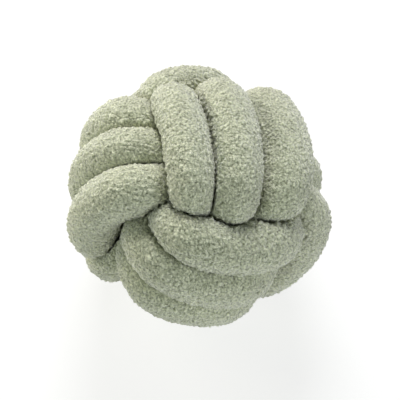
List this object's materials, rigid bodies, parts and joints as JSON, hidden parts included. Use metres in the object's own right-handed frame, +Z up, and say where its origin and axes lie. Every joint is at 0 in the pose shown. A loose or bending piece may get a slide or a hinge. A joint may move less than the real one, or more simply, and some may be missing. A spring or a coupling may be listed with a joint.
{
  "type": "knot cushion",
  "caption": "Ball-shaped cushion tied from a plump stuffed tube of teddy boucle, its bands of turns crossing over and under each other, resting on a small flat.",
  "frame": {"origin": "middle of the box that holds the cushion, on the surface that it rests on", "axes": "+Z up; the face with three upright turns looks up and a little towards +X, and the crossing in the lower half of the picture is towards -Y"},
  "size_m": [0.2654, 0.2634, 0.2622],
  "materials": {
    "boucle": "sage-green teddy boucle, matt curly pile with a soft sheen"
  },
  "bodies": {
    "root": {"knot_cushion": "boucle"}
  },
  "joints": []
}
